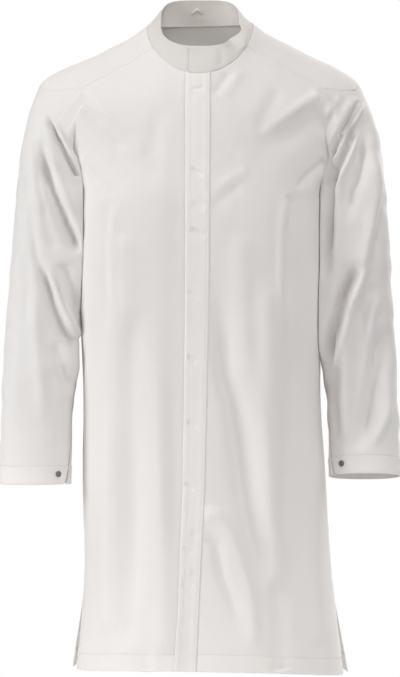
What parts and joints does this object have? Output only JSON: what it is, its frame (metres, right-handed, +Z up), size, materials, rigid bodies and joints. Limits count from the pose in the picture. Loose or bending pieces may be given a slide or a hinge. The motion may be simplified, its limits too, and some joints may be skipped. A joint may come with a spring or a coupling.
{
  "type": "dust coat",
  "caption": "Long white work coat with a stand collar, a covered front, set-in sleeves with studded cuffs and side hem slits, in its hollow worn shape.",
  "frame": {"origin": "where the wearer's shoulders hold the coat up: the middle of the neck, level with the tops of the shoulders at the neck", "axes": "+Z up, -Y the coat's front, +X the wearer's left"},
  "size_m": [0.6364, 0.3281, 1.0836],
  "materials": {
    "front_left_cloth": "plain white cotton twill, matt",
    "front_right_cloth": "plain white cotton twill, matt",
    "back_cloth": "plain white cotton twill, matt",
    "yoke_cloth": "plain white cotton twill, matt",
    "placket_band_cloth": "plain white cotton twill, matt",
    "collar_cloth": "plain white cotton twill, matt",
    "sleeve_left_cloth": "plain white cotton twill, matt",
    "sleeve_right_cloth": "plain white cotton twill, matt",
    "cuff_left_cloth": "plain white cotton twill, matt",
    "cuff_right_cloth": "plain white cotton twill, matt",
    "hanger_loop_cloth": "plain white cotton twill, matt",
    "stud_metal_left": "dark satin steel",
    "stud_metal_right": "dark satin steel"
  },
  "bodies": {
    "root": {"front_left": "front_left_cloth", "front_right": "front_right_cloth", "back": "back_cloth", "yoke": "yoke_cloth", "placket_band": "placket_band_cloth", "collar": "collar_cloth", "sleeve_left": "sleeve_left_cloth", "sleeve_right": "sleeve_right_cloth", "cuff_left": "cuff_left_cloth", "cuff_right": "cuff_right_cloth", "hanger_loop": "hanger_loop_cloth", "cuff_stud_left": "stud_metal_left", "cuff_stud_right": "stud_metal_right"}
  },
  "joints": []
}
